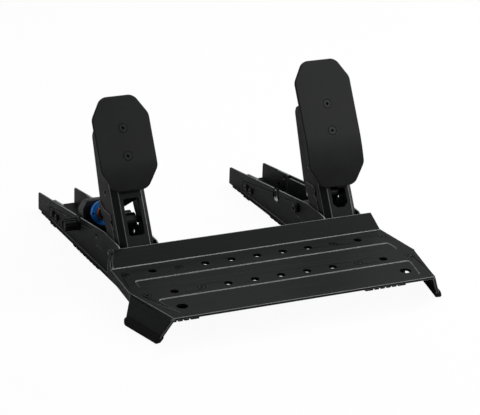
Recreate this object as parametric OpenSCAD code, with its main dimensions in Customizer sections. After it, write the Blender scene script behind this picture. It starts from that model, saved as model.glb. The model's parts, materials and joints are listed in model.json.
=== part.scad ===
// Two-pedal set: a heel plate on two long rails, a load cell brake and a sprung accelerator.
// X runs to the driver's right, Y away from the driver, Z up.
// The origin is on the floor, under the middle of the footprint.

/* [Heel plate] */
// Thickness of the bent steel sheet
sheet = 2.9; // [2.4:0.1:3.1]
// Height of the plate's top face above the floor
plate_top = 30; // [29:0.5:33]
// Half width at the front edge
front_half = 147.5; // [144:0.5:150]
// Half width at the widest point, where the wings start
waist_half = 163.5; // [160:0.5:168]
// Half width at the rear bend
rear_half = 158; // [154:0.5:160]
// Half width at the top of the rear flange
flange_half = 149.6; // [145:0.5:152]
// Front edge, measured forward from the middle of the hole pattern
front_reach = 90.5; // [88:0.5:94]
// Widest point, measured forward from the middle of the hole pattern
waist_reach = 17.5; // [12:0.5:22]
// Rear bend, measured back from the middle of the hole pattern
bend_reach = 46.5; // [44.5:0.5:48]
// Height of the rear flange above the plate
flange_rise = 17; // [15:0.1:18]
// Backward lean of the rear flange over its height
flange_run = 11.4; // [9:0.1:12]
// Depth of the side skirts below the top face
skirt_drop = 10.5; // [8:0.5:13]
// How far the side skirts stand out from the plate's edge
skirt_out = 0.8; // [0.4:0.1:1.2]
// Height of the left skirt's ear above the rear flange
ear_over = 2.6; // [1.5:0.1:3]
// Depth of the two embossed panels
panel_depth = 0.8; // [0.5:0.1:1]

/* [Holes and screws] */
// Pitch of the hole columns
hole_pitch = 30; // [29:0.5:30.5]
// Number of hole columns
hole_cols = 11; // [11]
// Distance between the two hole rows
row_gap = 57; // [54:0.5:59]
// Radius of the screw holes
hole_r = 2.75; // [2.6:0.05:3]
// Radius of the countersinks at the top face
sink_r = 4.5; // [4.3:0.1:4.9]
// Radius of the countersinks in the pedal faces
face_sink_r = 5.2; // [4.9:0.1:5.3]
// Depth and width of the groove round a countersunk head
head_groove = 0.6; // [0.4:0.1:0.8]
// Radius of the shank of the plate and face screws
screw_r = 2.5; // [2.3:0.05:2.5]
// Length of the plate screws under the top face
plate_screw_len = 11; // [9:0.5:12]
// Radius of the two rig mounting holes
rig_hole_r = 4.2; // [4:0.1:4.6]
// Radius of the dimple round a rig mounting hole
rig_sink_r = 6; // [5.6:0.1:6.6]
// Distance between the rig mounting holes
rig_spacing = 254; // [248:1:258]
// Rig mounting holes, measured forward from the middle of the hole pattern
rig_reach = 64; // [62:0.5:66]

/* [Wings] */
// Lean of the folded wings from upright, in degrees
wing_lean = 21.4; // [18:0.2:24]
// Gap between the wing's steel edge and the floor
wing_gap = 4.2; // [3.5:0.1:5]
// Thickness of the rubber boot
boot_w = 7.2; // [6.8:0.1:9]
// Height of the rubber boot
boot_h = 9.5; // [9:0.1:11]

/* [Rails] */
// Distance between the two rail centres
rail_spacing = 240; // [238:1:244]
// Half width of a rail
rail_half = 22.5; // [22.3:0.1:23.5]
// Wall thickness of a rail
wall = 1.5; // [1.3:0.1:1.6]
// Front end, measured forward from the middle of the hole pattern
rail_front = 38; // [36:0.5:39]
// Rear end, measured back from the middle of the hole pattern
rail_rear = 305.5; // [300:0.5:312]
// Height of the highest point of a wall
wall_peak = 47; // [46:0.2:48]
// Slope of the wall's top edge, in degrees
wall_slope = 7.1; // [6.8:0.1:7.4]
// Thickness of the rubber foot under a rail
foot_t = 2; // [1.8:0.1:2.4]
// Height of the foot's side lips
foot_lip = 5.5; // [5:0.1:7]
// Thickness of the foot's side lips
foot_side = 1.6; // [1.4:0.1:1.8]
// Pitch of the treads along a rail
tread_pitch = 9.5; // [9:0.1:10.5]
// Thickness of the bracket that joins a rail to the plate
bracket_t = 3; // [2.5:0.1:3.5]
// Thickness of the inner side plates
side_plate_t = 2.4; // [2:0.1:2.6]

/* [Pedal arms] */
// Lean of the arms from upright, in degrees
tilt = 29.5; // [28.5:0.1:30]
// Pivot axis, measured back from the middle of the hole pattern
pivot_y = 81; // [80:0.2:82]
// Height of the pivot axis above the floor
pivot_z = 16; // [15.6:0.1:16.6]
// Radius of the pivot axle
axle_r = 5; // [4.6:0.1:5.4]
// Half width of an arm
arm_half = 19.2; // [18.9:0.1:19.3]
// Half width of an arm's flat front
arm_front_half = 12.9; // [12:0.1:13.5]
// Depth of an arm's bevelled edges
arm_bevel = 6.4; // [5.5:0.1:7]
// Sheet thickness of an arm
arm_t = 2; // [1.8:0.1:2.2]
// Front face of an arm, square to its length, measured from the pivot axis
arm_front = 29.3; // [29:0.1:29.8]
// Length of an arm above the pivot axis
arm_len = 146; // [143:0.5:148]
// Thickness of the lower arm plates
arm_plate_t = 1.3; // [1.1:0.1:1.4]
// Width of the window in an arm
window_w = 17.3; // [15.3:0.5:18.3]
// Height of the rod pin above the pivot axis, along the arm
pin_u = 46; // [45:0.2:47]
// Rod pin, forward of the pivot axis, square to the arm
pin_w = 13.3; // [12.8:0.1:13.8]
// Radius of the rod pin
pin_r = 3.5; // [3.2:0.1:3.8]
// Radius of the hole over a pin's end in an arm plate
pin_hole_r = 2.2; // [1.8:0.1:2.6]

/* [Pedal faces] */
// Width of the brake's face
brake_face_w = 64; // [62:0.5:66]
// Width of the accelerator's face
accel_face_w = 67; // [64:0.5:68]
// Thickness of a face
face_t = 3; // [2.8:0.1:3.2]
// Front of a face, square to the arm, measured from the pivot axis
face_front = 43.1; // [42.6:0.1:43.8]
// Lower face screw, measured up the arm from the pivot axis
face_screw_u = 109.3; // [108:0.5:111]
// Distance between the two face screws
face_screw_gap = 30; // [28:0.5:31]
// Brake face above its lower screw
brake_rise = 64.8; // [61:0.2:66]
// Brake face below its lower screw
brake_fall = 36; // [34:0.2:38]
// Bend radius of the brake face's lower part
brake_bend = 110; // [105:1:140]
// Accelerator face above its lower screw
accel_rise = 79.4; // [75:0.2:80]
// Accelerator face below its lower screw
accel_fall = 60.6; // [57:0.2:61]
// Bend radius of the accelerator face's lower part
accel_bend = 190; // [188:1:230]
// Corner cut of a face, across
face_cut_x = 13.5; // [13:0.5:16]
// Corner cut of a face, along
face_cut_u = 22; // [20:0.5:25]
// Corner rounding of a face
face_round = 11; // [8:0.5:20]

/* [Brake load cell] */
// Cross shaft and rail slots, measured back from the middle of the hole pattern
shaft_y = 181.5; // [181:0.1:182]
// Height of the cross shaft above the floor
shaft_z = 29.4; // [29.2:0.1:29.6]
// Radius of the cross shaft
shaft_r = 6; // [5.8:0.1:6]
// Clearance of the shaft in the rail slots
slot_play = 0.2; // [0.15:0.05:0.3]
// Length of a clamp knob
knob_len = 16.5; // [15:0.5:17.5]
// Radius of a clamp knob
knob_r = 7; // [6.8:0.1:7.4]
// Mouth of the blue cup, measured back from the middle of the hole pattern
cup_y = 163; // [162.6:0.2:163.4]
// Height of the cup's mouth above the floor
cup_z = 45.4; // [45:0.1:45.6]
// Radius of the cup's flange
cup_flange_r = 13.6; // [13.2:0.1:14]
// Radius of the cup's bore
cup_bore_r = 8; // [7.7:0.1:8.2]
// Radius of the push rod
rod_r = 4; // [3.6:0.1:4.2]

/* [Accelerator spring] */
// Trunnion axis, measured back from the middle of the hole pattern
trunnion_y = 128.5; // [128:0.1:129.4]
// Height of the trunnion axis above the floor
trunnion_z = 34.3; // [34:0.1:34.6]
// Radius of the trunnion
trunnion_r = 7; // [6.8:0.1:7.2]
// Radius of the guide rod
guide_r = 3; // [2.8:0.1:3.2]
// Turns of the return spring
spring_turns = 6; // [5:1:6]
// Wire thickness of the return spring
spring_wire = 1.8; // [1.6:0.1:1.9]
// Radius of the spring, to the middle of the wire
spring_r = 8; // [7.5:0.1:8.4]

/* [Clearances] */
// Gap between a moving piece and its fixed neighbour
gap = 0.3; // [0.25:0.05:0.35]
// Radial play of a running fit
fit = 0.05; // [0.04:0.01:0.08]

/* [Hidden] */
$fn = 48;

brake_x = -rail_spacing / 2;
accel_x = rail_spacing / 2;
mid_y = (rail_rear - front_reach) / 2;
rail_in = rail_half - wall;
floor_z = foot_t + wall;
slope = tan(wall_slope);
peak_y = 106;
under_plate = plate_top - sheet;
wall_front_z = under_plate - bracket_t;
side_in = rail_in - side_plate_t;
side_front = 137;
side_rear = 232;
slot_r = shaft_r + slot_play;
arm_in = arm_half - arm_t;
hub_r = 10;
bush_r = axle_r + 2;
screw_cols = [0, 2, hole_cols - 3, hole_cols - 1];

// Height of the rail wall's top edge at y
function wall_top(y) = wall_peak - slope * max(0, y - peak_y);

function unit(v) = v / norm(v);
function turned(v) = [-v.y, v.x];
function nearest_turn(a) = ((a + 540) % 360) - 180;

// Arc that rounds corner b, seen from its neighbours a and c, by radius r
function corner(a, b, c, r, n = 5) =
    r <= 0 ? [b] :
    let (p = unit(a - b), q = unit(c - b), half = acos(p * q) / 2,
        m = b + unit(p + q) * r / sin(half), s = b + p * r / tan(half) - m,
        e = b + q * r / tan(half) - m, a0 = atan2(s.y, s.x),
        turn = nearest_turn(atan2(e.y, e.x) - a0))
    [for (i = [0:n]) m + r * [cos(a0 + turn * i / n), sin(a0 + turn * i / n)]];

// Polygon of points [x, y, corner radius]
function rounded(pts) =
    let (k = len(pts), xy = [for (p = pts) [p.x, p.y]])
    [for (i = [0:k - 1]) each corner(xy[(i + k - 1) % k], xy[i], xy[(i + 1) % k], pts[i].z)];

// Open path of points [x, y, corner radius]
function rounded_path(pts) =
    let (k = len(pts), xy = [for (p = pts) [p.x, p.y]])
    [for (i = [0:k - 1]) each i == 0 || i == k - 1 ? [xy[i]]
        : corner(xy[i - 1], xy[i], xy[i + 1], pts[i].z)];

// Path moved sideways by t, with mitred corners
function moved(path, t) =
    let (k = len(path), d = [for (i = [0:k - 2]) turned(unit(path[i + 1] - path[i]))])
    [for (i = [0:k - 1]) let (a = d[max(0, i - 1)], b = d[min(k - 2, i)], m = unit(a + b))
        path[i] + m * t / (m * a)];

// Closed outline of a sheet of thickness t on one side of a path
function strip(path, t) = concat(path, [for (i = [len(path) - 1:-1:0]) moved(path, t)[i]]);

// Draws a Y-Z outline and gives it the width w across X
module across(w) {
    rotate([90, 0, 90])
        linear_extrude(w, center = true)
            children();
}

// A round bar of length w across X, centred at y and z
module cross_bar(r, w, y, z) {
    translate([0, y, z])
        rotate([0, 90, 0])
            cylinder(r = r, h = w, center = true);
}

// Moves from the middle of the hole pattern to the model's origin
module at_plate() {
    translate([0, -mid_y, 0])
        children();
}

// Moves to a rail's centre line
module at_rail(x) {
    translate([x, -mid_y, 0])
        children();
}

// Frame of a pedal arm: X along the pivot axis, Y square to the arm, Z up the arm
module at_arm(x) {
    translate([x, pivot_y - mid_y, pivot_z])
        rotate([-tilt, 0, 0])
            children();
}

// Place in the Y-Z plane of a point u up the arm and w in front of the pivot axis
function arm_point(u, w) = [pivot_y + u * sin(tilt) - w * cos(tilt),
    pivot_z + u * cos(tilt) + w * sin(tilt)];

pin = arm_point(pin_u, pin_w);
cup_run = [cup_y, cup_z] - pin;
cup_turn = atan2(cup_run.y, cup_run.x);
cup_reach = norm(cup_run);
spring_run = [trunnion_y, trunnion_z] - pin;
spring_turn = atan2(spring_run.y, spring_run.x);
spring_reach = norm(spring_run);

// Frame of a rod: X across, Y from the rod pin along the rod
module at_rod(x, turn) {
    translate([x, pin.x - mid_y, pin.y])
        rotate([turn, 0, 0])
            children();
}

// A round bar along a rod, from s0 to s1
module rod_bar(r, s0, s1) {
    translate([0, s0, 0])
        rotate([-90, 0, 0])
            cylinder(r = r, h = s1 - s0);
}

// A countersunk screw along -Z for a sink of radius top_r, with its head's face at the origin
module sunk_screw(top_r, shank_r, length, socket_r) {
    sink = top_r - shank_r;
    difference() {
        union() {
            translate([0, 0, -sink])
                cylinder(r1 = shank_r, r2 = top_r - head_groove, h = sink - head_groove);
            translate([0, 0, -head_groove])
                cylinder(r = top_r - head_groove, h = head_groove);
            translate([0, 0, -length])
                cylinder(r = shank_r, h = length - sink);
        }
        translate([0, 0, -sink * 0.9])
            cylinder(r = socket_r, h = length, $fn = 6);
    }
}

// A button head bolt along -Z with the underside of its head at the origin
module button_bolt(head_r, head_h, shank_r, length, socket_r) {
    difference() {
        union() {
            cylinder(r = head_r, h = head_h * 0.55);
            translate([0, 0, head_h * 0.55])
                cylinder(r1 = head_r, r2 = head_r * 0.72, h = head_h * 0.45);
            translate([0, 0, -length])
                cylinder(r = shank_r, h = length);
        }
        translate([0, 0, head_h * 0.4])
            cylinder(r = socket_r, h = head_h, $fn = 6);
    }
}

// Heel plate
plan_corner = 5;
plate_path = rounded_path([[-front_reach, plate_top, 0], [bend_reach, plate_top, 2],
    [bend_reach + flange_run, plate_top + flange_rise, 0]]);
flange_y = bend_reach + flange_run + sheet;
plan_half = [[front_half, -front_reach, 3], [waist_half, -waist_reach, 6],
    [rear_half, bend_reach, 1], [flange_half, flange_y, plan_corner]];
plan = rounded(concat(plan_half,
    [for (i = [len(plan_half) - 1:-1:0]) [-plan_half[i].x, plan_half[i].y, plan_half[i].z]]));
skirt_run = [rear_half - waist_half, bend_reach + waist_reach];
skirt_len = norm(skirt_run);
skirt_turn = atan2(-skirt_run.x, skirt_run.y);
ear_w = 12;
ear_top = plate_top + flange_rise + ear_over;
ear_hole_r = 1.9;
wing_run = [front_half - waist_half, waist_reach - front_reach];
wing_len = norm(wing_run);
wing_turn = atan2(wing_run.y, wing_run.x);
wing_fall = (plate_top - wing_gap) / cos(wing_lean);
panel_round = 4;
panel_side = 14;

// Half width of the plate at y, in front of or behind the waist
function plate_half(y) = y < -waist_reach
    ? front_half + (waist_half - front_half) * (y + front_reach) / (front_reach - waist_reach)
    : waist_half + (rear_half - waist_half) * (y + waist_reach) / (bend_reach + waist_reach);

// Embossed panel from y0 to y1, in from the plate's edges
module panel(y0, y1) {
    half0 = plate_half(y0) - panel_side;
    half1 = plate_half(y1) - panel_side;
    translate([0, 0, plate_top - panel_depth])
        linear_extrude(sheet)
            polygon(rounded([[-half0, y0, panel_round], [half0, y0, panel_round],
                [half1, y1, panel_round], [-half1, y1, panel_round]]));
}

// Side skirt: the left one, with_ear, ends in an upright ear with a hole
module skirt(with_ear) {
    foot = plate_top - skirt_drop;
    ear_y = skirt_len + 1;
    plain = [[skirt_len, foot, 3], [skirt_len, plate_top, 0]];
    ear = [[skirt_len + ear_w, foot, 3], [skirt_len + ear_w, ear_top, 5.4],
        [ear_y, ear_top, 5.2], [ear_y, plate_top, 0]];
    translate([waist_half, -waist_reach, 0])
        rotate([0, 0, skirt_turn])
            translate([skirt_out - sheet / 2, 0, 0])
                difference() {
                    across(sheet)
                        polygon(rounded(concat([[0, foot, 1]], with_ear ? ear : plain,
                            [[0, plate_top, 0]])));
                    if (with_ear)
                        cross_bar(ear_hole_r, 3 * sheet, skirt_len + ear_w / 2 + 0.5, ear_top - 5.5);
                }
}

module wing() {
    translate([waist_half, -waist_reach, plate_top])
        rotate([0, 0, wing_turn])
            rotate([wing_lean - 90, 0, 0])
                translate([0, 0, -sheet])
                    linear_extrude(sheet)
                        polygon(rounded([[0, 0, 0], [6, wing_fall, 4],
                            [wing_len - 11.5, wing_fall, 4], [wing_len, 0, 0]]));
}

module plate_sink(x, y, r, top_r) {
    translate([x, y, 0]) {
        cylinder(r = r, h = plate_top);
        translate([0, 0, plate_top - (top_r - r)])
            cylinder(r1 = r, r2 = top_r + 1, h = top_r - r + 1);
    }
}

module heel_plate() {
    color("#242526")
        at_plate()
            difference() {
                union() {
                    intersection() {
                        across(3 * waist_half) polygon(strip(plate_path, -sheet));
                        linear_extrude(2 * plate_top) polygon(plan);
                    }
                    for (side = [0, 1])
                        mirror([side, 0, 0]) {
                            skirt(side == 1);
                            wing();
                        }
                }
                panel(-9, 10.5);
                panel(11.5 - front_reach, -41.5);
                for (col = [0:hole_cols - 1], row = [-1, 1])
                    plate_sink((col - (hole_cols - 1) / 2) * hole_pitch, row * row_gap / 2,
                        hole_r, sink_r);
                for (side = [-1, 1]) {
                    rig_hole(side * rig_spacing / 2);
                    cross_hole(side * waist_half);
                }
            }
}

// Rig mounting hole in the front panel, with a shallow dimple round it
module rig_hole(x) {
    dimple = 0.8;
    translate([x, -rig_reach, plate_top - panel_depth - dimple]) {
        cylinder(r = rig_hole_r, h = 4 * sheet, center = true);
        cylinder(r1 = rig_hole_r, r2 = rig_sink_r, h = dimple);
        translate([0, 0, dimple])
            cylinder(r = rig_sink_r, h = sheet);
    }
}

// Small hole through a side skirt
module cross_hole(x) {
    translate([x, 9, plate_top - 4.2])
        rotate([0, 90, 0])
            cylinder(r = 1.75, h = 4 * sheet + 4, center = true);
}

module heel_plate_screws() {
    color("#1b1b1c")
        at_plate()
            for (col = screw_cols, row = [-1, 1])
                translate([(col - (hole_cols - 1) / 2) * hole_pitch, row * row_gap / 2, plate_top])
                    sunk_screw(sink_r, screw_r, plate_screw_len, 1.6);
}

// Rubber boot on the lower edge of a wing
module wing_boot() {
    lean = tan(wing_lean);
    mid = plate_top * lean - sheet / 2 / cos(wing_lean);
    half = boot_w / 2;
    difference() {
        translate([waist_half, -waist_reach, 0])
            rotate([0, 0, wing_turn])
                intersection() {
                    translate([(5 + wing_len - 10) / 2, 0, 0])
                        across(wing_len)
                            polygon(rounded([[mid - half, 0, 2], [mid + half, 0, 2.5],
                                [mid + half - boot_h * lean, boot_h, 2.5],
                                [mid - half - boot_h * lean, boot_h, 2.5]]));
                    rotate([90, 0, 0])
                        linear_extrude(6 * boot_w, center = true)
                            polygon(rounded([[9, 0, 3], [wing_len - 13, 0, 3],
                                [wing_len - 8.5, boot_h, 3], [3, boot_h, 3]]));
                }
        wing();
    }
}

module left_wing_boot() {
    color("#19191a")
        at_plate()
            mirror([1, 0, 0])
                wing_boot();
}

module right_wing_boot() {
    color("#19191a")
        at_plate()
            wing_boot();
}

// Rails
wall_outline = rounded([[-rail_front, foot_t, 0], [rail_rear, foot_t, 2],
    [rail_rear, wall_top(rail_rear), 3], [peak_y, wall_peak, 10],
    [68, wall_peak - 1, 6], [61.5, wall_peak - 4, 4],
    [bend_reach + 4.5, wall_front_z, 3], [-rail_front, wall_front_z, 2]]);
line_drop = 9;
line_w = 1.1;
line_y = 269;
line_front = 142.6;
line_end_drop = 5;
line_r = slot_r + 0.4;
bolt_y = [244.5, 257];
bolt_z = 13.3;
ear_front = 234;
ear_rear = 262;

// Pressed line that follows the wall's top edge and wraps the slot
line_path = concat([[line_y, foot_lip + 5], [line_y, wall_top(line_y) - line_drop]],
    [for (a = [20:-20:-200]) [shaft_y, shaft_z] + line_r * [cos(a), sin(a)]],
    [[line_front, wall_top(line_front) - line_end_drop]]);

// Thin arc slit in the rail's walls, ahead of the trunnion's bolts
slit_path = [[111, 24], [123, 24.4], [130, 24.4]];
slit_w = 0.8;

module rail_slot() {
    cross_bar(slot_r, 3 * rail_half, shaft_y, shaft_z);
    translate([-2 * rail_half, shaft_y - slot_r, shaft_z])
        cube([4 * rail_half, 2 * slot_r, wall_peak]);
}

module rail(x, side_hole_r) {
    color("#232324")
        at_rail(x)
            difference() {
                union() {
                    for (side = [-1, 1])
                        translate([side * (rail_half - wall / 2), 0, 0])
                            across(wall) polygon(wall_outline);
                    translate([-rail_half, -rail_front, foot_t])
                        cube([2 * rail_half, rail_front + rail_rear, wall]);
                }
                rail_slot();
                across(3 * rail_half) polygon(strip(slit_path, slit_w));
                cross_bar(axle_r, 3 * rail_half, pivot_y, pivot_z);
                cross_bar(side_hole_r, 3 * rail_half, trunnion_y, trunnion_z);
                for (y = bolt_y)
                    cross_bar(rear_bolt_r, 3 * rail_half, y, bolt_z);
                for (side = [-1, 1])
                    translate([side * rail_half, 0, 0])
                        across(2 * 0.5) polygon(strip(line_path, line_w));
            }
}

module brake_rail() rail(brake_x, 2.25);
module accelerator_rail() rail(accel_x, trunnion_bolt_r);

// Rubber foot: a shallow tray under the rail with studs in three groups
module rail_foot(x) {
    stud_z = 1.3;
    rib_w = 2;
    rib_pitch = 7;
    foot_half = rail_half + foot_side;
    lip_rear = ear_rear + 1;
    pad_rear = 296;
    groups = [[-rail_front, 30], [118, 192], [248, pad_rear]];
    color("#161617")
        at_rail(x)
            difference() {
                union() {
                    translate([-foot_half, -rail_front, 0])
                        cube([2 * foot_half, rail_front + lip_rear, foot_t]);
                    translate([-rail_half, lip_rear, 0])
                        cube([2 * rail_half, pad_rear - lip_rear, foot_t]);
                    for (side = [-1, 1])
                        translate([side * (rail_half + foot_side / 2), 0, 0])
                            across(foot_side)
                                polygon(rounded([[-rail_front, 0, 0], [lip_rear, 0, 0],
                                    [lip_rear, foot_lip, 2], [-rail_front, foot_lip, 2]]));
                }
                for (g = [0:len(groups) - 2])
                    translate([-rail_spacing / 2, groups[g][1], -1])
                        cube([rail_spacing, groups[g + 1][0] - groups[g][1], 1 + stud_z]);
                for (g = groups, y = [g[0] + tread_pitch:tread_pitch:g[1] - rib_w])
                    translate([-rail_spacing / 2, y - rib_w, -1])
                        cube([rail_spacing, rib_w, 1 + stud_z]);
                for (i = [-2:2])
                    translate([i * rib_pitch - rib_w / 2, -rail_front - 1, -1])
                        cube([rib_w, rail_front + rail_rear, 1 + stud_z]);
            }
}

module brake_rail_foot() rail_foot(brake_x);
module accelerator_rail_foot() rail_foot(accel_x);

// Bracket between a rail and the heel plate, with threaded bosses beside the rail
module rail_bracket(x) {
    boss_r = 5;
    boss_h = 7;
    color("#2b2b2c")
        at_rail(x)
            difference() {
                union() {
                    translate([0, 0, wall_front_z])
                        linear_extrude(bracket_t)
                            polygon(rounded([for (c = [[1, 1], [-1, 1], [-1, -1], [1, -1]])
                                [c.x * (hole_pitch + 7), c.y * (row_gap / 2 + 9), 5]]));
                    for (i = [-1, 1], j = [-1, 1])
                        translate([i * hole_pitch, j * row_gap / 2, wall_front_z - boss_h])
                            cylinder(r = boss_r, h = boss_h);
                }
                for (i = [-1, 1], j = [-1, 1])
                    translate([i * hole_pitch, j * row_gap / 2, 0])
                        cylinder(r = screw_r, h = plate_top);
            }
}

module brake_rail_bracket() rail_bracket(brake_x);
module accelerator_rail_bracket() rail_bracket(accel_x);

// Stiffening plates on the inside of the rail's walls
module side_plates(x) {
    color("#2a2a2b")
        at_rail(x)
            difference() {
                for (side = [-1, 1])
                    translate([side * (rail_in - side_plate_t / 2), 0, 0])
                        across(side_plate_t)
                            polygon(rounded([[side_front, floor_z, 0], [side_rear, floor_z, 0],
                                [side_rear, wall_top(side_rear) - 3, 3],
                                [side_front, wall_top(side_front) - 3, 5]]));
                rail_slot();
            }
}

module brake_side_plates() side_plates(brake_x);
module accelerator_side_plates() side_plates(accel_x);

// Cross bracket near the rear end, with three holes in each ear
rear_bolt_r = 2;
module rear_bracket(x) {
    ear_t = 2.4;
    color("#303031")
        at_rail(x)
            difference() {
                union() {
                    translate([-rail_in, ear_front, floor_z])
                        cube([2 * rail_in, ear_rear - ear_front, ear_t]);
                    for (side = [-1, 1])
                        translate([side * (rail_in - ear_t / 2), 0, 0])
                            across(ear_t)
                                polygon(rounded([[ear_front, floor_z, 0], [ear_rear, floor_z, 0],
                                    [ear_rear, wall_top(ear_rear) + 0.8, 3],
                                    [ear_front, wall_top(ear_front) + 0.8, 2]]));
                }
                for (y = bolt_y)
                    cross_bar(rear_bolt_r, 3 * rail_half, y, bolt_z);
                cross_bar(rear_bolt_r, 3 * rail_half, bolt_y[0], bolt_z + 11);
            }
}

module brake_rear_bracket() rear_bracket(brake_x);
module accelerator_rear_bracket() rear_bracket(accel_x);

module rear_bolts(x) {
    color("#141415")
        at_rail(x)
            for (side = [-1, 1], y = bolt_y)
                translate([side * rail_half, y, bolt_z])
                    rotate([0, side * 90, 0])
                        button_bolt(4, 2.8, rear_bolt_r, wall + 4, 1.4);
}

module brake_rear_bolts() rear_bolts(brake_x);
module accelerator_rear_bolts() rear_bolts(accel_x);

// Pivot: an axle flush with the rail walls and two flanged bushes in the arm
module pivot_axle(x) {
    color("#3a3a3c")
        at_rail(x)
            cross_bar(axle_r, 2 * rail_half, pivot_y, pivot_z);
}

module pivot_bushes(x) {
    flange = rail_in - arm_half - gap;
    color("#4a4a46")
        at_rail(x)
            difference() {
                union() {
                    for (side = [-1, 1]) {
                        translate([side * (arm_half - 4), pivot_y, pivot_z])
                            rotate([0, 90, 0])
                                cylinder(r = bush_r, h = 8, center = true);
                        translate([side * (arm_half + flange / 2), pivot_y, pivot_z])
                            rotate([0, 90, 0])
                                cylinder(r = bush_r + 1.5, h = flange, center = true);
                    }
                }
                cross_bar(axle_r + fit, 3 * rail_half, pivot_y, pivot_z);
            }
}

module brake_pivot_axle() pivot_axle(brake_x);
module accelerator_pivot_axle() pivot_axle(accel_x);
module brake_pivot_bushes() pivot_bushes(brake_x);
module accelerator_pivot_bushes() pivot_bushes(accel_x);

// Pedal arms, drawn in the arm's own frame
arm_foot_u = 8;
window_top_u = 67;
arm_outline = rounded([[-arm_front - 1, arm_foot_u, 0], [-arm_front + 7, arm_foot_u - 4, 3],
    [-hub_r, -hub_r + 3, 6], [hub_r - 3, -hub_r, 8], [hub_r + 1, 4, 8], [5.6, 44, 12],
    [10, 58, 6], [11.2, 66, 6], [0, arm_len - 4, 6], [-5.4, arm_len, 6],
    [-arm_front - 1, arm_len, 0]]);
arm_section = [[-arm_half, 30], [-arm_half, arm_bevel - arm_front],
    [-arm_front_half, -arm_front], [arm_front_half, -arm_front],
    [arm_half, arm_bevel - arm_front], [arm_half, 30]];

module arm_shell() {
    intersection() {
        translate([0, 0, -20])
            linear_extrude(arm_len + 40)
                polygon(strip(arm_section, arm_t));
        across(4 * arm_half) polygon(arm_outline);
    }
}

// Cuts the arm's window: upright sides and lower corners cut by c
module arm_window(foot_u, c) {
    half = window_w / 2;
    rotate([90, 0, 0])
        linear_extrude(2 * arm_front)
            polygon(rounded([[c - half, foot_u, 1.5], [half - c, foot_u, 1.5],
                [half, foot_u + c, 1.5], [half, window_top_u, 3],
                [-half, window_top_u, 3], [-half, foot_u + c, 1.5]]));
}

module arm(x, window_foot, window_cut) {
    color("#252627")
        at_arm(x)
            difference() {
                union() {
                    arm_shell();
                    rotate([0, 90, 0])
                        cylinder(r = hub_r, h = 2 * arm_in, center = true);
                }
                rotate([0, 90, 0])
                    cylinder(r = bush_r, h = 3 * arm_half, center = true);
                cross_bar(pin_r, 3 * arm_half, -pin_w, pin_u);
                cross_bar(2.4, 3 * arm_half, -7.6, 79);
                cross_bar(1.4, 3 * arm_half, -pin_w - 2, pin_u - 6);
                arm_window(window_foot, window_cut);
                for (u = [face_screw_u, face_screw_u + face_screw_gap])
                    translate([0, 0, u])
                        rotate([90, 0, 0])
                            cylinder(r = screw_r, h = 2 * arm_front);
            }
}

module brake_arm() arm(brake_x, 27.3, 1.6);
module accelerator_arm() arm(accel_x, 26.5, 4.5);

// Plates on the outside of the arm's lower end, with a rear horn or a plain corner
rear_horn = [[10.2, 64.2, 2], [14.1, 70.3, 1.2], [11.3, 75, 1.5]];
rear_corner = [[6.7, 60.9, 2]];

module arm_plates(x, rear) {
    outline = rounded(concat([[-12, 16, 4], [4, 14, 5], [3.8, 40.9, 10], [5, 47.4, 4],
        [6.6, 56.2, 3]], rear, [[0.8, 62.6, 3], [-13.2, 54.5, 1.5], [-13.2, 24, 4]]));
    color("#2a2b2c")
        at_arm(x)
            difference() {
                for (side = [-1, 1])
                    translate([side * (arm_half + arm_plate_t / 2), 0, 0])
                        across(arm_plate_t) polygon(outline);
                cross_bar(pin_hole_r, 4 * arm_half, -pin_w, pin_u);
            }
}

module brake_arm_plates() arm_plates(brake_x, rear_horn);
module accelerator_arm_plates() arm_plates(accel_x, rear_corner);

// Web between the brake arm's sides
module brake_arm_brace() {
    color("#1f2021")
        at_arm(brake_x)
            translate([0, -2, 0])
                rotate([90, 0, 0])
                    linear_extrude(2.5, center = true)
                        polygon([[-arm_in, 54.7], [-arm_in, 124], [arm_in, 124], [arm_in, 68.5]]);
}

// Pedal faces, drawn in the arm's own frame
module face_plan(width, rise, fall) {
    top = face_screw_u + rise;
    foot = face_screw_u - fall;
    h = width / 2;
    polygon(rounded([[-h + face_cut_x, foot, face_round], [h - face_cut_x, foot, face_round],
        [h, foot + face_cut_u, face_round], [h, top - face_cut_u, face_round],
        [h - face_cut_x, top, face_round], [-h + face_cut_x, top, face_round],
        [-h, top - face_cut_u, face_round], [-h, foot + face_cut_u, face_round]]));
}

// Side view of a face: straight above the lower screw, bent back below it
module face_profile(rise, fall, bend) {
    translate([-face_front, face_screw_u])
        square([face_t, rise + 1]);
    intersection() {
        translate([bend - face_front, face_screw_u])
            difference() {
                circle(r = bend, $fn = 180);
                circle(r = bend - face_t, $fn = 180);
            }
        translate([-face_front - 1, face_screw_u - fall - 1])
            square([bend / 2, fall + 1]);
    }
}

module face(x, width, rise, fall, bend) {
    color("#1d1d1e")
        at_arm(x)
            difference() {
                intersection() {
                    across(2 * width) face_profile(rise, fall, bend);
                    rotate([90, 0, 0])
                        linear_extrude(2 * face_front)
                            face_plan(width, rise, fall);
                }
                for (u = [face_screw_u, face_screw_u + face_screw_gap])
                    translate([0, -face_front, u])
                        rotate([90, 0, 0]) {
                            translate([0, 0, screw_r - face_sink_r])
                                cylinder(r1 = screw_r, r2 = face_sink_r, h = face_sink_r - screw_r);
                            cylinder(r = screw_r, h = 4 * face_t, center = true);
                            cylinder(r = face_sink_r, h = 1);
                        }
            }
}

module brake_face() face(brake_x, brake_face_w, brake_rise, brake_fall, brake_bend);
module accelerator_face() face(accel_x, accel_face_w, accel_rise, accel_fall, accel_bend);

module face_screws(x) {
    color("#2b2c2d")
        at_arm(x)
            for (u = [face_screw_u, face_screw_u + face_screw_gap])
                translate([0, -face_front, u])
                    rotate([90, 0, 0])
                        sunk_screw(face_sink_r, screw_r, face_front - arm_front + arm_t + 2, 1.6);
}

module brake_face_screws() face_screws(brake_x);
module accelerator_face_screws() face_screws(accel_x);

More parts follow.
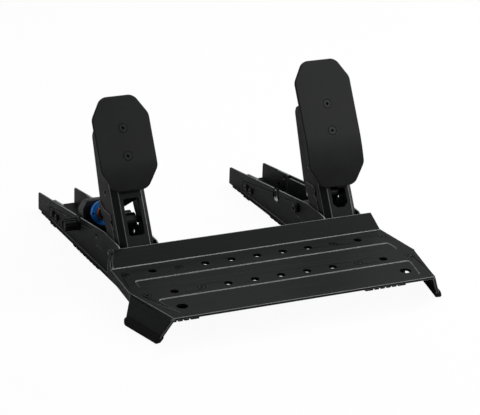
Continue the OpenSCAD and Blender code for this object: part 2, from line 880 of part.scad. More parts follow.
// Block that carries a face in front of its arm
module face_spacer(x, bend) {
    reach = 9;
    depth = face_front - face_t - arm_front;
    half = arm_front_half - 1.5;
    foot = face_screw_u - reach;
    top = face_screw_u + face_screw_gap + reach;
    color("#1a1a1b")
        at_arm(x)
            difference() {
                translate([0, -arm_front, 0])
                    rotate([90, 0, 0])
                        linear_extrude(depth)
                            polygon(rounded([[-half, foot, 3], [half, foot, 3],
                                [half, top, 3], [-half, top, 3]]));
                across(2 * arm_half) face_profile(0, 2 * reach, bend);
                for (u = [face_screw_u, face_screw_u + face_screw_gap])
                    translate([0, 0, u])
                        rotate([90, 0, 0])
                            cylinder(r = screw_r, h = 2 * face_front);
            }
}

module brake_face_spacer() face_spacer(brake_x, brake_bend);
module accelerator_face_spacer() face_spacer(accel_x, accel_bend);

// Rod pins, fixed in the arm's sides
module rod_pin(x) {
    color("#2b2c2e")
        at_arm(x)
            cross_bar(pin_r, 2 * arm_half - 1, -pin_w, pin_u);
}

module brake_rod_pin() rod_pin(brake_x);
module accelerator_rod_pin() rod_pin(accel_x);

// A rod with an eye that turns on the rod pin
module eye_rod(x, turn, eye_r, eye_w, r, length) {
    color("#2b2c2e")
        at_rod(x, turn)
            difference() {
                union() {
                    rotate([0, 90, 0])
                        cylinder(r = eye_r, h = eye_w, center = true);
                    rod_bar(r, 0, length);
                }
                rotate([0, 90, 0])
                    cylinder(r = pin_r + fit, h = 3 * eye_w, center = true);
            }
}

// Brake: push rod, plunger, cup, elastomers and load cell on the cross shaft
plunger_r = cup_bore_r - 2;
plunger_s = cup_reach - 22;
elastomer_s = cup_reach + 0.5;
elastomer_len = 5;
cup_len = 14;
cup_tube_r = cup_bore_r + 2.2;
cup_screw_r = 1.3;
cup_screw_grip = 1.2;
cup_screw_ring = (cup_tube_r + cup_flange_r) / 2;
carriage_s = cup_reach + cup_len;
carriage_len = 15;
nut_s = 11;
nut_len = 6;

module push_rod() eye_rod(brake_x, cup_turn, 8, 12, rod_r, plunger_s);

module lock_nut() {
    color("#2b2c2e")
        at_rod(brake_x, cup_turn)
            difference() {
                translate([0, nut_s, 0])
                    rotate([-90, 0, 0])
                        cylinder(r = 7.5, h = nut_len, $fn = 6);
                rod_bar(rod_r, 0, 3 * nut_s);
            }
}

module plunger() {
    color("#2d2d2f")
        at_rod(brake_x, cup_turn) {
            rod_bar(plunger_r, plunger_s, elastomer_s - 0.2);
            rod_bar(plunger_r + 2.2, plunger_s, plunger_s + 3);
        }
}

module elastomer(s, tone) {
    color(tone)
        at_rod(brake_x, cup_turn)
            rod_bar(cup_bore_r - gap, s, s + elastomer_len);
}

module elastomer_front() elastomer(elastomer_s, "#b5622a");
module elastomer_rear() elastomer(elastomer_s + elastomer_len, "#7d3f1c");

module blue_cup() {
    color("#1173c4")
        at_rod(brake_x, cup_turn)
            difference() {
                union() {
                    rod_bar(cup_flange_r, cup_reach, cup_reach + 4);
                    rod_bar(cup_tube_r, cup_reach, cup_reach + cup_len);
                }
                rod_bar(cup_bore_r, cup_reach - 1, elastomer_s + 2 * elastomer_len);
                cup_screw_bars(cup_reach - 1, cup_reach + cup_len + 1);
            }
}

// Bars for the cup's three screws, from s0 to s1 along the rod
module cup_screw_bars(s0, s1) {
    for (a = [60:120:300])
        rotate([0, a, 0])
            translate([cup_screw_ring, 0, 0])
                rod_bar(cup_screw_r, s0, s1);
}

module cup_screws() {
    color("#202022")
        at_rod(brake_x, cup_turn)
            cup_screw_bars(cup_reach + 0.4, carriage_s + cup_screw_grip);
}

// Shaft centre in the rod's frame
shaft_run = [shaft_y, shaft_z] - pin;
shaft_s = shaft_run.x * cos(cup_turn) + shaft_run.y * sin(cup_turn);
shaft_t = shaft_run.y * cos(cup_turn) - shaft_run.x * sin(cup_turn);

module load_cell_carriage() {
    color("#202021")
        at_rod(brake_x, cup_turn)
            difference() {
                translate([0, carriage_s + carriage_len / 2, 0])
                    intersection() {
                        across(2 * (side_in - gap))
                            polygon(rounded([[-carriage_len / 2, shaft_t - shaft_r - 3, 3],
                                [carriage_len / 2, shaft_t - shaft_r - 3, 3],
                                [carriage_len / 2, 14, 2], [-carriage_len / 2, 14, 2]]));
                        rotate([90, 0, 0])
                            linear_extrude(2 * carriage_len, center = true)
                                polygon(rounded([[-side_in, -30, 0], [side_in, -30, 0],
                                    [side_in, 4, 3], [12, 14, 4], [-12, 14, 4],
                                    [-side_in, 4, 3]]));
                    }
                translate([0, shaft_s, shaft_t])
                    rotate([0, 90, 0])
                        cylinder(r = shaft_r, h = 4 * side_in, center = true);
                rod_bar(5, carriage_s + carriage_len - 3, carriage_s + carriage_len + 1);
                cup_screw_bars(carriage_s - 1, carriage_s + cup_screw_grip);
            }
}

module load_cell() {
    s = carriage_s + carriage_len;
    color("#8d8f92")
        at_rod(brake_x, cup_turn) {
            rod_bar(5, s - 3, s);
            rod_bar(11, s, s + 8);
            rod_bar(6, s + 8, s + 10);
            translate([0, s + 4, 11])
                cube([6, 6, 3], center = true);
        }
}

stud_r = 4;
module cross_shaft() {
    color("#3c3d3f")
        at_rail(brake_x) {
            cross_bar(shaft_r, 2 * rail_half, shaft_y, shaft_z);
            cross_bar(stud_r, 2 * (rail_half + knob_len - 3), shaft_y, shaft_z);
        }
}

module knob(side) {
    inner = rail_half + gap;
    color("#1a1b1c")
        at_rail(brake_x)
            translate([side * inner, shaft_y, shaft_z])
                rotate([0, side * 90, 0])
                    difference() {
                        union() {
                            cylinder(r = knob_r + 0.8, h = 2);
                            translate([0, 0, 2])
                                cylinder(r = knob_r, h = knob_len - 3);
                            translate([0, 0, knob_len - 1])
                                cylinder(r1 = knob_r, r2 = knob_r - 1, h = 1);
                        }
                        translate([0, 0, -1])
                            cylinder(r = stud_r + fit, h = knob_len - 2);
                        for (a = [0:30:330])
                            rotate([0, 0, a])
                                translate([knob_r + 0.5, 0, 3])
                                    cylinder(r = 1.1, h = knob_len, $fn = 16);
                    }
}

module left_knob() knob(-1);
module right_knob() knob(1);

// Accelerator: guide rod through a trunnion, with the return spring round it
trunnion_bolt_r = 3;
trunnion_half = 15;
spring_cup_s = 8;
spring_s0 = spring_cup_s + 2 + spring_wire / 2;
spring_s1 = spring_reach - trunnion_r - spring_wire / 2;
nut_back = spring_reach + trunnion_r + gap;

module guide_rod() eye_rod(accel_x, spring_turn, 7, 10, guide_r, nut_back + 7);

module spring_cup() {
    color("#4b4c4f")
        at_rod(accel_x, spring_turn)
            difference() {
                union() {
                    rod_bar(spring_r + 2, spring_cup_s, spring_cup_s + 2);
                    rod_bar(spring_r - 2, spring_cup_s, spring_cup_s + 5);
                }
                rod_bar(guide_r, 0, 20);
            }
}

module rebound_nut() {
    color("#2b2c2e")
        at_rod(accel_x, spring_turn)
            difference() {
                translate([0, nut_back, 0])
                    rotate([-90, 0, 0])
                        cylinder(r = 5.8, h = 5, $fn = 6);
                rod_bar(guide_r, nut_back - 1, nut_back + 6);
            }
}

module trunnion() {
    color("#313234")
        at_rod(accel_x, spring_turn)
            translate([0, spring_reach, 0])
                difference() {
                    union() {
                        rotate([0, 90, 0])
                            cylinder(r = trunnion_r, h = 2 * trunnion_half, center = true);
                        rotate([90, 0, 0])
                            cylinder(r = spring_r + 1.5, h = 2 * trunnion_r, center = true);
                    }
                    rotate([90, 0, 0])
                        cylinder(r = guide_r + gap, h = 4 * trunnion_r, center = true);
                    for (side = [-1, 1])
                        translate([side * (trunnion_half - 5), 0, 0])
                            rotate([0, 90, 0])
                                cylinder(r = trunnion_bolt_r + fit, h = 10.02, center = true);
                }
}

// Bolts through the rail walls, with shoulders against their inner faces
module trunnion_bolts() {
    shoulder = rail_in - trunnion_half - gap;
    color("#18181a")
        at_rail(accel_x)
            for (side = [-1, 1])
                translate([side * rail_half, trunnion_y, trunnion_z])
                    rotate([0, side * 90, 0]) {
                        button_bolt(5.5, 5, trunnion_bolt_r, rail_half - trunnion_half + 8, 2.3);
                        translate([0, 0, -wall - shoulder])
                            difference() {
                                cylinder(r = 5, h = shoulder);
                                cylinder(r = trunnion_bolt_r, h = shoulder);
                            }
                    }
}

// Return spring: one unbroken helical tube with flat-wound first and last half turns
spring_rings = 8 * spring_turns;
function spring_climb(f) = spring_s0 + (spring_s1 - spring_s0) * f;
function spring_point(i) = let (f = i / spring_rings, a = 360 * spring_turns * f)
    [spring_r * cos(a), spring_climb(f), spring_r * sin(a)];
spring_points = [for (i = [0:spring_rings]) spring_point(i)];
spring_gap = min([for (i = [0:spring_rings - 8], j = [6:10]) if (i + j <= spring_rings)
    norm(spring_points[i + j] - spring_points[i])]) - spring_wire;
echo(least_gap_between_spring_turns = spring_gap);

// Points of one ring of the tube: the wire's section square to the helix
function ring(i) =
    let (p = spring_points[i], d = unit(spring_points[min(i + 1, spring_rings)]
            - spring_points[max(i - 1, 0)]),
        out = unit([p.x, 0, p.z]), up = unit(cross(d, out)))
    [for (k = [0:5]) p + spring_wire / 2 * (cos(60 * k) * out + sin(60 * k) * up)];

module return_spring() {
    points = [for (i = [0:spring_rings]) each ring(i)];
    last = 6 * spring_rings;
    walls = [for (i = [0:spring_rings - 1], k = [0:5])
        let (a = 6 * i + k, b = 6 * i + (k + 1) % 6) each [[a, b, b + 6], [a, b + 6, a + 6]]];
    ends = concat([for (k = [1:4]) [0, k + 1, k]], [for (k = [1:4]) [last, last + k, last + k + 1]]);
    color("#2c2d30")
        at_rod(accel_x, spring_turn)
            polyhedron(points, concat(walls, ends));
}

// Sensor at the accelerator's pivot
module sensor_magnet() {
    color("#8a8c90")
        at_rail(accel_x)
            translate([-4, pivot_y + hub_r - 1, pivot_z - 4])
                difference() {
                    cube([8, 3, 6]);
                    translate([4, 1 - hub_r, 4])
                        rotate([0, 90, 0])
                            cylinder(r = hub_r, h = 20, center = true);
                }
}

module sensor_board() {
    color("#1d5b35")
        at_rail(accel_x) {
            translate([-9, pivot_y + hub_r + 4.5, floor_z])
                cube([18, 1.6, 16]);
            translate([-3, pivot_y + hub_r + 3.4, pivot_z - 5])
                cube([6, 1.1, 6]);
            translate([-9, pivot_y + hub_r + 6.1, floor_z])
                cube([18, 8, 2]);
        }
}

// Control box on the floor of the brake rail, behind the load cell
box_front = 196;
box_rear = ear_front - gap;
box_h = 13;
box_wall = 1.6;
box_half = side_in - gap;
board_z = floor_z + box_wall + 3;
port_w = 9;
port_h = 3.4;

module control_box() {
    color("#1b1c1d")
        at_rail(brake_x)
            difference() {
                translate([-box_half, box_front, floor_z])
                    cube([2 * box_half, box_rear - box_front, box_h]);
                translate([box_wall - box_half, box_front + box_wall, board_z])
                    cube([2 * (box_half - box_wall), box_rear - box_front - 2 * box_wall, box_h]);
                translate([-port_w / 2, box_rear - 2 * box_wall, board_z + board_t])
                    cube([port_w, 3 * box_wall, port_h]);
                box_screw_holes(board_z);
            }
}

board_t = 1.6;
module box_screw_holes(z) {
    for (side = [-1, 1], y = [box_front + 4, box_rear - 4])
        translate([side * (box_half - 4), y, z - 3])
            cylinder(r = 1.1, h = 2 * box_h);
}

module control_lid() {
    color("#202122")
        at_rail(brake_x)
            difference() {
                translate([0, 0, floor_z + box_h])
                    linear_extrude(box_wall)
                        polygon(rounded([[-box_half, box_front, 2], [box_half, box_front, 2],
                            [box_half, box_rear, 2], [-box_half, box_rear, 2]]));
                box_screw_holes(board_z);
            }
}

module lid_screws() {
    color("#3a3b3d")
        at_rail(brake_x)
            for (side = [-1, 1], y = [box_front + 4, box_rear - 4])
                translate([side * (box_half - 4), y, floor_z + box_h + box_wall])
                    button_bolt(2, 1.2, 1.1, box_h + box_wall - 6, 0.7);
}

module control_board() {
    color("#1d5b35")
        at_rail(brake_x)
            difference() {
                translate([box_wall - box_half, box_front + box_wall, board_z])
                    cube([2 * (box_half - box_wall), box_rear - box_front - 2 * box_wall, board_t]);
                box_screw_holes(board_z);
            }
}

module data_port() {
    color("#9a9c9f")
        at_rail(brake_x)
            translate([-port_w / 2, box_rear - 8, board_z + board_t])
                difference() {
                    cube([port_w, 8, port_h]);
                    translate([0.6, 2, 0.6])
                        cube([port_w - 1.2, 8, port_h - 1.2]);
                }
}

heel_plate();
heel_plate_screws();
left_wing_boot();
right_wing_boot();
brake_rail();
brake_rail_foot();
brake_rail_bracket();
brake_side_plates();
brake_rear_bracket();
brake_rear_bolts();
brake_pivot_axle();
brake_pivot_bushes();
brake_arm();
brake_arm_plates();
brake_arm_brace();
brake_face_spacer();
brake_face();
brake_face_screws();
brake_rod_pin();
push_rod();
lock_nut();
plunger();
elastomer_front();
elastomer_rear();
blue_cup();
cup_screws();
load_cell_carriage();
load_cell();
cross_shaft();
left_knob();
right_knob();
accelerator_rail();
accelerator_rail_foot();
accelerator_rail_bracket();
accelerator_side_plates();
accelerator_rear_bracket();
accelerator_rear_bolts();
accelerator_pivot_axle();
accelerator_pivot_bushes();
accelerator_arm();
accelerator_arm_plates();
accelerator_face_spacer();
accelerator_face();
accelerator_face_screws();
accelerator_rod_pin();
guide_rod();
spring_cup();
return_spring();
rebound_nut();
trunnion();
trunnion_bolts();
sensor_board();
sensor_magnet();
control_box();
control_lid();
control_board();
data_port();
lid_screws();
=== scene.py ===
import bpy
import json
import math
from mathutils import Matrix, Vector


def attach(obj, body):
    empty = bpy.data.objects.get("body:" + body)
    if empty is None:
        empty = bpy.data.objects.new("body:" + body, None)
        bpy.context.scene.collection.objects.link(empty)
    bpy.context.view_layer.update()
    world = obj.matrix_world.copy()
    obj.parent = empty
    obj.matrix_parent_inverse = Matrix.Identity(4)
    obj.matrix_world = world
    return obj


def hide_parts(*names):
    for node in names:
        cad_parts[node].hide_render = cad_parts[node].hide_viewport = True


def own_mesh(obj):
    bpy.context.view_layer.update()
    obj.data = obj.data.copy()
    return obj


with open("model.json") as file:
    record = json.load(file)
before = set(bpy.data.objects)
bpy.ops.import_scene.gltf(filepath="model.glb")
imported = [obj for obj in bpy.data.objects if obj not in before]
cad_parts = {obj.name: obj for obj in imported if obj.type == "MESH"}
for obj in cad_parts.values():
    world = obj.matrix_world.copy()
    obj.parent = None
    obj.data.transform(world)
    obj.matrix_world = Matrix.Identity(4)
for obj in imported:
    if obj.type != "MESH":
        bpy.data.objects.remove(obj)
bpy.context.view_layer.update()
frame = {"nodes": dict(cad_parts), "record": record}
print("frame loaded:", len(frame["nodes"]), "nodes")

mm = 0.001
bpy.context.scene.view_settings.view_transform = "Standard"

# the arms lean back, and their pieces are drawn upright and then leant with them
arm = {"lean": 29.5, "pivotY": -26.5 * mm, "pivotZ": 16 * mm, "brakeX": -120 * mm, "acceleratorX": 120 * mm}


# helpers for materials

def toLinear(hexColour):
    parts = [int(hexColour[i:i + 2], 16) / 255 for i in (1, 3, 5)]
    return [c / 12.92 if c <= 0.04045 else ((c + 0.055) / 1.055) ** 2.4 for c in parts] + [1]


def addNode(tree, kind, settings=None, inputs=None):
    node = tree.nodes.new(kind)
    for name, value in (settings or {}).items():
        setattr(node, name, value)
    for name, value in (inputs or {}).items():
        if isinstance(value, bpy.types.NodeSocket):
            tree.links.new(value, node.inputs[name])
        else:
            node.inputs[name].default_value = value
    return node


def newMaterial(name, **shaderInputs):
    material = bpy.data.materials.new(name)
    material.use_nodes = True
    tree = material.node_tree
    tree.nodes.clear()
    shader = addNode(tree, "ShaderNodeBsdfPrincipled")
    for socket, value in shaderInputs.items():
        shader.inputs[socket.replace("_", " ")].default_value = value
    output = addNode(tree, "ShaderNodeOutputMaterial")
    tree.links.new(shader.outputs["BSDF"], output.inputs["Surface"])
    return material, tree, shader


# a noise whose grains are sizeMm across, longer along an axis where stretch is over 1
def grain(tree, sizeMm, detail=2.0, stretch=(1, 1, 1)):
    place = addNode(tree, "ShaderNodeTexCoord")
    perMetre = 1000 / sizeMm
    mapped = addNode(tree, "ShaderNodeMapping", inputs={
        "Vector": place.outputs["Object"],
        "Scale": [perMetre / s for s in stretch]})
    noise = addNode(tree, "ShaderNodeTexNoise", inputs={
        "Vector": mapped.outputs["Vector"], "Scale": 1.0, "Detail": detail, "Roughness": 0.55})
    return noise.outputs["Fac"]


# a noise mostly stays in this band, which is stretched to a pattern's whole range
noiseBand = {"low": 0.3, "high": 0.7}


# a value that runs from low to high with a pattern
def spread(tree, pattern, low, high):
    ranged = addNode(tree, "ShaderNodeMapRange", inputs={
        "Value": pattern, "From Min": noiseBand["low"], "From Max": noiseBand["high"],
        "To Min": low, "To Max": high})
    return ranged.outputs["Result"]


def tint(tree, pattern, dark, light):
    ramp = addNode(tree, "ShaderNodeValToRGB", inputs={"Fac": pattern})
    ramp.color_ramp.elements[0].position = noiseBand["low"]
    ramp.color_ramp.elements[0].color = toLinear(dark)
    ramp.color_ramp.elements[1].position = noiseBand["high"]
    ramp.color_ramp.elements[1].color = toLinear(light)
    return ramp.outputs["Color"]


def bumpFrom(tree, pattern, depthMm):
    bump = addNode(tree, "ShaderNodeBump", inputs={
        "Height": pattern, "Strength": 1.0, "Distance": depthMm * mm})
    return bump.outputs["Normal"]


def join(tree, shader, **sockets):
    for name, value in sockets.items():
        tree.links.new(value, shader.inputs[name.replace("_", " ")])


# powder coat on steel: a baked polyester film, matte black, with the fine orange peel it cures to
def makePowderCoat():
    coat = {"dark": "#18191a", "light": "#1f2020", "peelMm": 0.9, "patchMm": 26, "roughness": (0.46, 0.56)}
    material, tree, shader = newMaterial("powder coated steel", Specular_IOR_Level=0.06)
    patches = grain(tree, coat["patchMm"], 3.0)
    join(tree, shader, Base_Color=tint(tree, patches, coat["dark"], coat["light"]),
         Roughness=spread(tree, patches, *coat["roughness"]),
         Normal=bumpFrom(tree, grain(tree, coat["peelMm"], 1.0), 0.012))
    return material


# the heel plate wears the same coat over rolled sheet, whose rolling lines show as faint streaks across it
def makeRolledCoat():
    coat = {"dark": "#161717", "light": "#1e1f1f", "lineMm": 1.6, "lineLength": 60, "roughness": (0.4, 0.58)}
    material, tree, shader = newMaterial("powder coated rolled sheet", Specular_IOR_Level=0.06)
    lines = grain(tree, coat["lineMm"], 3.0, (coat["lineLength"], 1, 1))
    join(tree, shader, Base_Color=tint(tree, lines, coat["dark"], coat["light"]),
         Roughness=spread(tree, lines, *coat["roughness"]),
         Normal=bumpFrom(tree, lines, 0.01))
    return material


# painted highlight: the broken edges of sheets get a paler, glossier coat that stands in for the light they
# catch
def makePaintedEdgeHighlight():
    coat = {"dark": "#4c4e4f", "light": "#6e7071", "highlightPatchMm": 3.0, "roughness": (0.3, 0.42)}
    material, tree, shader = newMaterial("powder coat with a painted edge highlight", Specular_IOR_Level=0.4)
    highlightPatches = grain(tree, coat["highlightPatchMm"], 3.0)
    join(tree, shader, Base_Color=tint(tree, highlightPatches, coat["dark"], coat["light"]),
         Roughness=spread(tree, highlightPatches, *coat["roughness"]))
    return material


# painted highlight on the upper edges of cut sheet and on the foot's ledge, which face the lamp above
def makeUpperEdgeHighlight():
    coat = {"dark": "#6a6c6d", "light": "#8c8e8f", "highlightPatchMm": 2.0, "roughness": (0.35, 0.5)}
    material, tree, shader = newMaterial("painted highlight on upper edges", Specular_IOR_Level=0.3)
    highlightPatches = grain(tree, coat["highlightPatchMm"], 3.0)
    join(tree, shader, Base_Color=tint(tree, highlightPatches, coat["dark"], coat["light"]),
         Roughness=spread(tree, highlightPatches, *coat["roughness"]))
    return material


# painted shade: pressed lines and countersinks are narrow and get little light, so they are painted near
# black
def makePaintedShade():
    coat = {"dark": "#050505", "light": "#0a0a0a", "grainMm": 1.0}
    material, tree, shader = newMaterial("painted shade in lines and countersinks",
                                         Specular_IOR_Level=0.0, Roughness=0.9)
    join(tree, shader, Base_Color=tint(tree, grain(tree, coat["grainMm"]), coat["dark"], coat["light"]))
    return material


# the faces have a smoother wet-sprayed matte coat, nearly without grain
def makeFaceCoat():
    coat = {"dark": "#1d1d1e", "light": "#202121", "grainMm": 0.7, "patchMm": 35, "roughness": (0.4, 0.46)}
    material, tree, shader = newMaterial("matte sprayed steel", Specular_IOR_Level=0.07)
    patches = grain(tree, coat["patchMm"], 2.0)
    join(tree, shader, Base_Color=tint(tree, patches, coat["dark"], coat["light"]),
         Roughness=spread(tree, patches, *coat["roughness"]),
         Normal=bumpFrom(tree, grain(tree, coat["grainMm"], 1.0), 0.006))
    return material


# black oxide on screws: a thin blued skin on steel that still glints like metal
def makeBlackOxide():
    finish = {"dark": "#0e0f0f", "light": "#1a1b1b", "patchMm": 1.5, "roughness": (0.34, 0.48)}
    material, tree, shader = newMaterial("black oxide steel", Metallic=0.85)
    patches = grain(tree, finish["patchMm"], 3.0)
    join(tree, shader, Base_Color=tint(tree, patches, finish["dark"], finish["light"]),
         Roughness=spread(tree, patches, *finish["roughness"]))
    return material


# moulded rubber: dull, dark, with a dusty grain from the mould
def makeRubber():
    finish = {"dark": "#101011", "light": "#1a1a1b", "grainMm": 0.6, "roughness": (0.74, 0.86)}
    material, tree, shader = newMaterial("moulded rubber", Specular_IOR_Level=0.08)
    dust = grain(tree, finish["grainMm"], 3.0)
    join(tree, shader, Base_Color=tint(tree, dust, finish["dark"], finish["light"]),
         Roughness=spread(tree, dust, *finish["roughness"]),
         Normal=bumpFrom(tree, dust, 0.03))
    return material


# turned or ground bright steel, with the fine rings and lines of the tool
def makeBrightSteel():
    finish = {"dark": "#8a8c8f", "light": "#a5a7aa", "lineMm": 0.5, "roughness": (0.26, 0.4)}
    material, tree, shader = newMaterial("ground steel", Metallic=1.0)
    lines = grain(tree, finish["lineMm"], 2.0, (8, 1, 8))
    join(tree, shader, Base_Color=tint(tree, lines, finish["dark"], finish["light"]),
         Roughness=spread(tree, lines, *finish["roughness"]))
    return material


# oil-dipped spring wire: dark drawn steel with a soft sheen
def makeSpringSteel():
    finish = {"dark": "#3a3b3e", "light": "#54565a", "lineMm": 0.4, "roughness": (0.28, 0.42)}
    material, tree, shader = newMaterial("oiled spring wire", Metallic=1.0)
    lines = grain(tree, finish["lineMm"], 2.0)
    join(tree, shader, Base_Color=tint(tree, lines, finish["dark"], finish["light"]),
         Roughness=spread(tree, lines, *finish["roughness"]))
    return material


# bead-blasted aluminium under dark anodising: a fine even sparkle
def makeDarkAnodised():
    finish = {"dark": "#101112", "light": "#1a1b1c", "grainMm": 0.35, "roughness": (0.44, 0.55)}
    material, tree, shader = newMaterial("dark anodised aluminium", Metallic=0.7)
    grit = grain(tree, finish["grainMm"], 2.0)
    join(tree, shader, Base_Color=tint(tree, grit, finish["dark"], finish["light"]),
         Roughness=spread(tree, grit, *finish["roughness"]),
         Normal=bumpFrom(tree, grit, 0.01))
    return material


# blue anodised aluminium: a dyed, clear oxide over bright turned metal
def makeBlueAnodised():
    finish = {"dark": "#0b5fae", "light": "#1478d0", "lineMm": 0.4, "roughness": (0.3, 0.4)}
    material, tree, shader = newMaterial("blue anodised aluminium", Metallic=0.35)
    lines = grain(tree, finish["lineMm"], 2.0, (6, 1, 6))
    join(tree, shader, Base_Color=tint(tree, lines, finish["dark"], finish["light"]),
         Roughness=spread(tree, lines, *finish["roughness"]))
    return material


# cast polyurethane, the springy blocks in the cup: waxy, with a little cloudiness
def makeUrethane(name, dark, light):
    finish = {"cloudMm": 4, "roughness": (0.42, 0.55)}
    material, tree, shader = newMaterial(name, Subsurface_Weight=0.15, Subsurface_Scale=2 * mm)
    clouds = grain(tree, finish["cloudMm"], 3.0)
    join(tree, shader, Base_Color=tint(tree, clouds, dark, light),
         Roughness=spread(tree, clouds, *finish["roughness"]))
    return material


# glass-filled nylon, moulded: black with a fine spark-eroded grain
def makeNylon():
    finish = {"dark": "#0d0e0e", "light": "#151616", "grainMm": 0.5, "roughness": (0.5, 0.62)}
    material, tree, shader = newMaterial("moulded black nylon", Specular_IOR_Level=0.12)
    pits = grain(tree, finish["grainMm"], 2.0)
    join(tree, shader, Base_Color=tint(tree, pits, finish["dark"], finish["light"]),
         Roughness=spread(tree, pits, *finish["roughness"]),
         Normal=bumpFrom(tree, pits, 0.02))
    return material


# sintered bronze: dull brown metal with dark oil pores
def makeSinteredBronze():
    finish = {"dark": "#4d3d26", "light": "#7c653f", "poreMm": 0.4, "roughness": (0.45, 0.6)}
    material, tree, shader = newMaterial("sintered bronze", Metallic=0.9)
    pores = grain(tree, finish["poreMm"], 3.0)
    join(tree, shader, Base_Color=tint(tree, pores, finish["dark"], finish["light"]),
         Roughness=spread(tree, pores, *finish["roughness"]))
    return material


# epoxy board under green solder mask: glossy, with paler copper tracks showing through
def makeBoard():
    # the texture puts four rows of bricks in its unit, and the tracks run in the joints between them
    finish = {"mask": "#0c3a1e", "track": "#1d6a3a", "pitchMm": 2.4, "rows": 4, "trackWidth": 0.03}
    material, tree, shader = newMaterial("green solder mask", Roughness=0.25)
    place = addNode(tree, "ShaderNodeTexCoord")
    tracks = addNode(tree, "ShaderNodeTexBrick", inputs={
        "Vector": place.outputs["Object"], "Scale": 1000 / (finish["pitchMm"] * finish["rows"]),
        "Color1": toLinear(finish["mask"]), "Color2": toLinear(finish["mask"]),
        "Mortar": toLinear(finish["track"]), "Mortar Size": finish["trackWidth"]})
    join(tree, shader, Base_Color=tracks.outputs["Color"])
    return material


finishes = {
    "black_steel": makePowderCoat(),
    "black_face": makeFaceCoat(),
    "black_bolts": makeBlackOxide(),
    "black_rubber": makeRubber(),
    "bright_steel": makeBrightSteel(),
    "spring_steel": makeSpringSteel(),
    "dark_aluminium": makeDarkAnodised(),
    "bush_bronze": makeSinteredBronze(),
    "blue_anodised": makeBlueAnodised(),
    "soft_elastomer": makeUrethane("amber urethane", "#a8501f", "#c4682c"),
    "firm_elastomer": makeUrethane("brown urethane", "#5e2c14", "#7a3d1d"),
    "black_plastic": makeNylon(),
    "circuit_board": makeBoard(),
}
rolledCoat = makeRolledCoat()
paintedEdgeHighlight = makePaintedEdgeHighlight()
upperEdgeHighlight = makeUpperEdgeHighlight()
paintedShade = makePaintedShade()
slotOf = {part["node"]: part["material_slot"] for part in frame["record"]["subparts"]}
bodyOf = {node: body for body, nodes in frame["record"]["behaviour"]["bodies"].items() for node in nodes}
print("materials ready:", len(finishes) + 4)


# helpers for meshes

def selectNothing():
    if bpy.context.mode != "OBJECT":
        bpy.ops.object.mode_set(mode="OBJECT")
    bpy.ops.object.select_all(action="DESELECT")


def pick(piece):
    selectNothing()
    piece.select_set(True)
    bpy.context.view_layer.objects.active = piece


def editMode(piece, kind="VERT"):
    pick(piece)
    bpy.ops.object.mode_set(mode="EDIT")
    bpy.ops.mesh.select_mode(type=kind)


# selects the vertices, edges or faces that wanted() likes, in object mode, and goes back to edit mode
def selectWhere(piece, kind, wanted):
    bpy.ops.mesh.select_mode(type=kind)
    bpy.ops.mesh.select_all(action="DESELECT")
    bpy.ops.object.mode_set(mode="OBJECT")
    mesh = piece.data
    parts = {"VERT": mesh.vertices, "EDGE": mesh.edges, "FACE": mesh.polygons}[kind]
    for part in parts:
        part.select = wanted(part)
    bpy.ops.object.mode_set(mode="EDIT")


def applyModifier(piece, kind, name, **settings):
    pick(piece)
    modifier = piece.modifiers.new(name, kind)
    for key, value in settings.items():
        setattr(modifier, key, value)
    bpy.ops.object.modifier_apply(modifier=name)


def settle(piece, matrix=None):
    selectNothing()
    if matrix is not None:
        piece.matrix_world = matrix
    pick(piece)
    bpy.ops.object.transform_apply(location=True, rotation=True, scale=True)


def paint(piece, node, material=None, edge=None):
    piece.data.materials.clear()
    piece.data.materials.append(material or finishes[slotOf[node]])
    if edge:
        piece.data.materials.append(edge)


def finishPiece(piece, name, node, smoothAngle=35):
    piece.name = name
    pick(piece)
    bpy.ops.object.shade_smooth_by_angle(angle=math.radians(smoothAngle))
    # flat faces keep their own normals, so that only their rounded edges shade
    applyModifier(piece, "WEIGHTED_NORMAL", "flats", keep_sharp=True, weight=100)
    if not piece.data.materials:
        paint(piece, node)
    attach(piece, bodyOf[node])
    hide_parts(node)
    return piece


# gives another finish to the faces that wanted() likes, by their centre in mm and their normal
def refinish(piece, wanted, finish):
    if finish.name not in piece.data.materials:
        piece.data.materials.append(finish)
    index = piece.data.materials.find(finish.name)
    for face in piece.data.polygons:
        if wanted(face.center / mm, face.normal):
            face.material_index = index


# where edges meet at a narrow angle a bevel throws a corner far out, and it goes back onto its solid
def pullIn(piece, solid, reach):
    for vertex in piece.data.vertices:
        found, place = solid.closest_point_on_mesh(vertex.co)[:2]
        if found and (place - vertex.co).length > reach:
            vertex.co = place


# the loose triangles of a node are joined where they lie flat, and edges sharper than breakAngle are broken
softening = {"merge": 0.002 * mm, "flatAngle": 0.6, "breakAngle": 32, "segments": 2, "foldSegments": 5}


